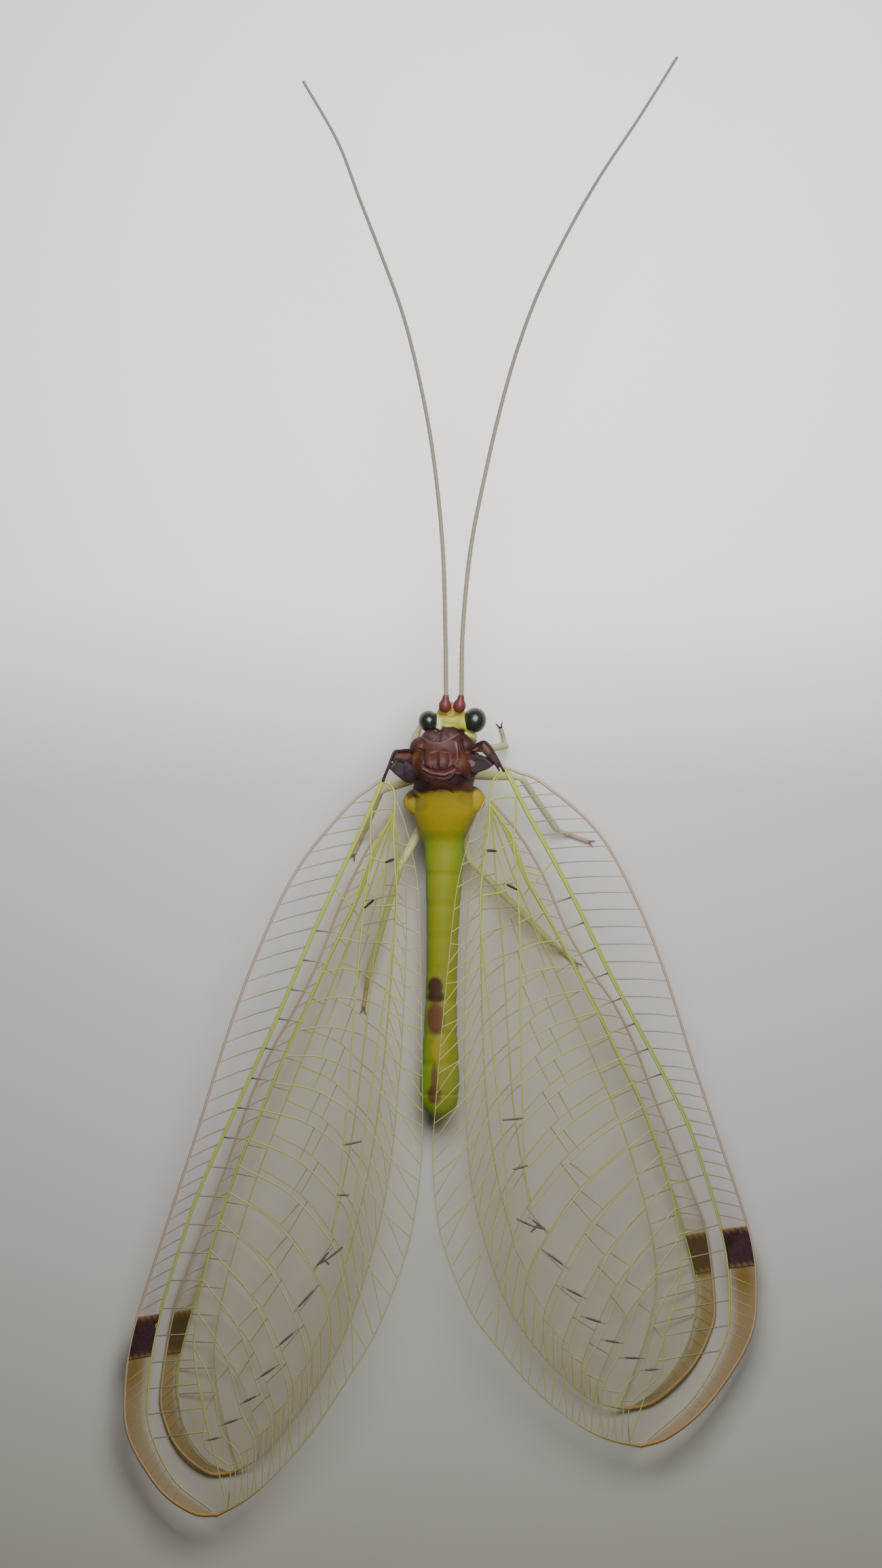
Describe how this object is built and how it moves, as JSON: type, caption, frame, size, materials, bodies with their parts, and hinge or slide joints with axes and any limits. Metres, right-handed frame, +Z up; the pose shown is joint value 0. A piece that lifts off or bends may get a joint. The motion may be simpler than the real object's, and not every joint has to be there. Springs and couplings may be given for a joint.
{
  "type": "green lacewing",
  "caption": "green lacewing at rest, life size, with long veined glassy wings laid back over a slim green abdomen and very long feelers held forward",
  "frame": {"origin": "on the floor under the middle of the whole animal's bounding box, wings and feelers included", "axes": "+Y runs from the tail to the head, +Z up from the floor, +X to the animal's right"},
  "size_m": [0.019, 0.0436, 0.0068],
  "materials": {
    "head": "satin yellow-green cuticle",
    "eye": "glossy green-black",
    "scape": "glossy rose-red cuticle",
    "feeler": "dull beige to grey cuticle",
    "thorax": "satin red-brown cuticle",
    "abdomen": "satin green cuticle",
    "wing": "clear membrane with yellow-green veins",
    "leg": "satin pale green cuticle"
  },
  "bodies": {
    "root": {"head": "head", "eye_left": "eye", "eye_right": "eye", "scape_left": "scape", "scape_right": "scape", "antenna_left": "feeler", "antenna_right": "feeler", "prothorax": "thorax", "mesothorax": "thorax", "metathorax": "thorax", "abdomen": "abdomen", "forewing_left": "wing", "forewing_right": "wing", "hindwing_left": "wing", "hindwing_right": "wing", "leg_front_left_thigh": "leg", "leg_front_left_shin": "leg", "leg_front_right_thigh": "leg", "leg_front_right_shin": "leg", "leg_mid_left_thigh": "leg", "leg_mid_left_shin": "leg", "leg_mid_right_thigh": "leg", "leg_mid_right_shin": "leg", "leg_hind_left_thigh": "leg", "leg_hind_left_shin": "leg", "leg_hind_right_thigh": "leg", "leg_hind_right_shin": "leg"}
  },
  "joints": []
}
